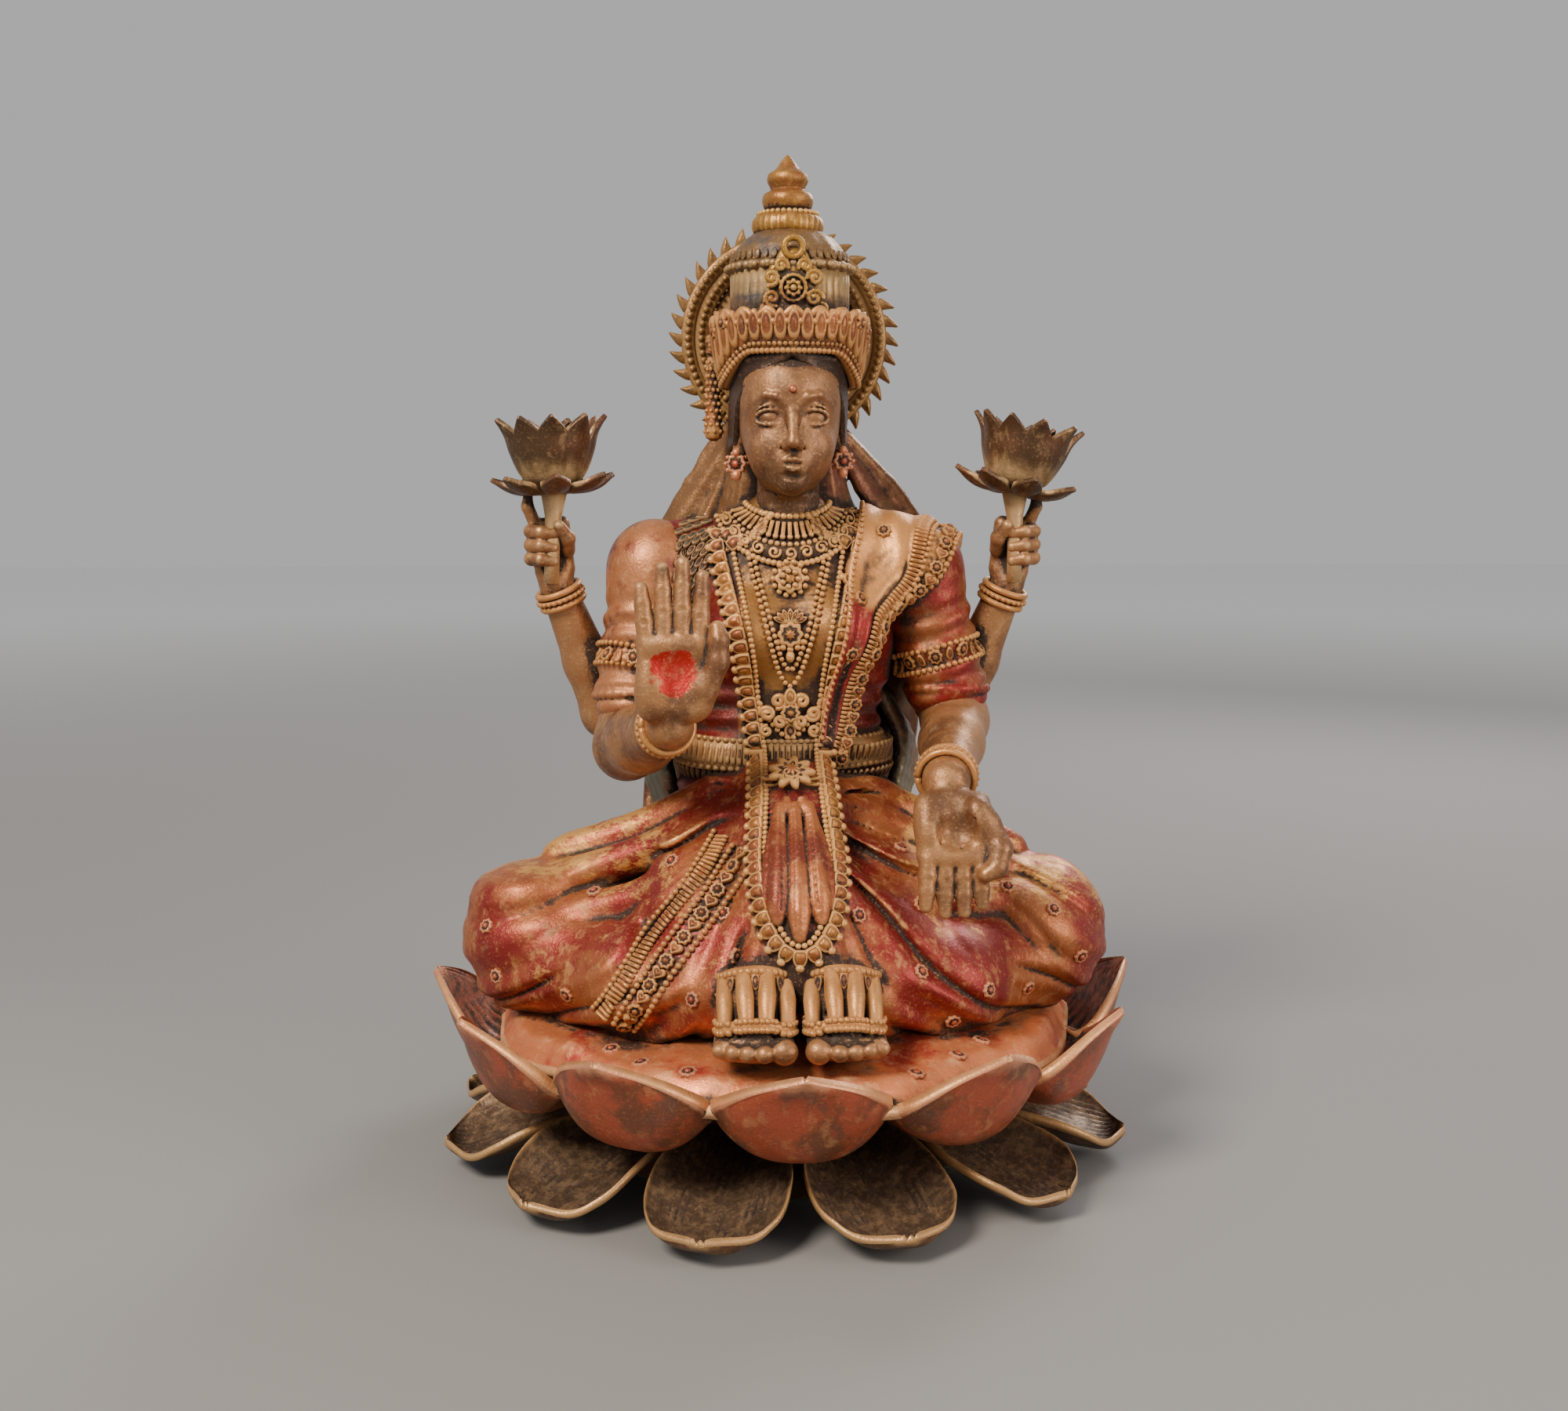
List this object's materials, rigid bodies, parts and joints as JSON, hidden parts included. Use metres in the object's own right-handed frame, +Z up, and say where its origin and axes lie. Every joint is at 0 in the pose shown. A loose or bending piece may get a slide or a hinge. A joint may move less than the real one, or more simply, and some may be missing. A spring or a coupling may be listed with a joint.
{
  "type": "seated deity statuette",
  "caption": "Seated four-armed goddess statuette on a two-tier open lotus, with tall crown, halo, raised blessing hand and a flower in each rear hand.",
  "frame": {"origin": "centre of the underside of the felt pad, on the surface that the statuette stands on", "axes": "+Z up, the figure faces -Y, its own right hand is at -X"},
  "size_m": [0.1542, 0.1542, 0.21],
  "materials": {
    "blouse_dark_crimson": "dark crimson and bronze paint",
    "dowel_steel": "plain turned pin",
    "dress_crimson": "crimson paint dry-brushed with copper and gold",
    "felt": "short dark felt",
    "flower_bronze": "antique bronze, dark in the recesses",
    "jewellery_gold": "copper gold paint, dark wash in the recesses",
    "petal_dark_bronze": "dark bronze paint, dry-brushed gold on the rims",
    "petal_salmon": "hand-painted satin, salmon over bronze with worn gold rims",
    "skin_bronze": "warm bronze powder finish, polished on the high spots"
  },
  "bodies": {
    "root": {"anklets": "jewellery_gold", "back_veil": "dress_crimson", "collar_necklace": "jewellery_gold", "crown": "jewellery_gold", "crown_finial": "jewellery_gold", "crown_plaque": "jewellery_gold", "crown_tassel": "jewellery_gold", "felt_pad": "felt", "garland": "jewellery_gold", "halo": "flower_bronze", "head": "skin_bronze", "lap": "dress_crimson", "left_earring": "jewellery_gold", "left_foot": "skin_bronze", "left_forearm": "skin_bronze", "left_hand": "skin_bronze", "left_leg": "dress_crimson", "left_lotus": "flower_bronze", "left_upper_arm": "blouse_dark_crimson", "lotus_core": "petal_dark_bronze", "lower_petal_01": "petal_dark_bronze", "lower_petal_02": "petal_dark_bronze", "lower_petal_03": "petal_dark_bronze", "lower_petal_04": "petal_dark_bronze", "lower_petal_05": "petal_dark_bronze", "lower_petal_06": "petal_dark_bronze", "lower_petal_07": "petal_dark_bronze", "lower_petal_08": "petal_dark_bronze", "lower_petal_09": "petal_dark_bronze", "lower_petal_10": "petal_dark_bronze", "lower_petal_11": "petal_dark_bronze", "lower_petal_12": "petal_dark_bronze", "pendants": "jewellery_gold", "pleat_panel": "dress_crimson", "rear_left_arm": "skin_bronze", "rear_right_arm": "skin_bronze", "right_earring": "jewellery_gold", "right_foot": "skin_bronze", "right_forearm": "skin_bronze", "right_hand": "skin_bronze", "right_leg": "dress_crimson", "right_lotus": "flower_bronze", "right_upper_arm": "blouse_dark_crimson", "seat_dowel": "dowel_steel", "seat_drape": "dress_crimson", "shoulder_sash": "dress_crimson", "torso": "blouse_dark_crimson", "upper_petal_01": "petal_salmon", "upper_petal_02": "petal_salmon", "upper_petal_03": "petal_salmon", "upper_petal_04": "petal_salmon", "upper_petal_05": "petal_salmon", "upper_petal_06": "petal_salmon", "upper_petal_07": "petal_salmon", "upper_petal_08": "petal_salmon", "upper_petal_09": "petal_salmon", "upper_petal_10": "petal_salmon", "upper_petal_11": "petal_salmon", "upper_petal_12": "petal_salmon", "waist_belt": "jewellery_gold"}
  },
  "joints": []
}
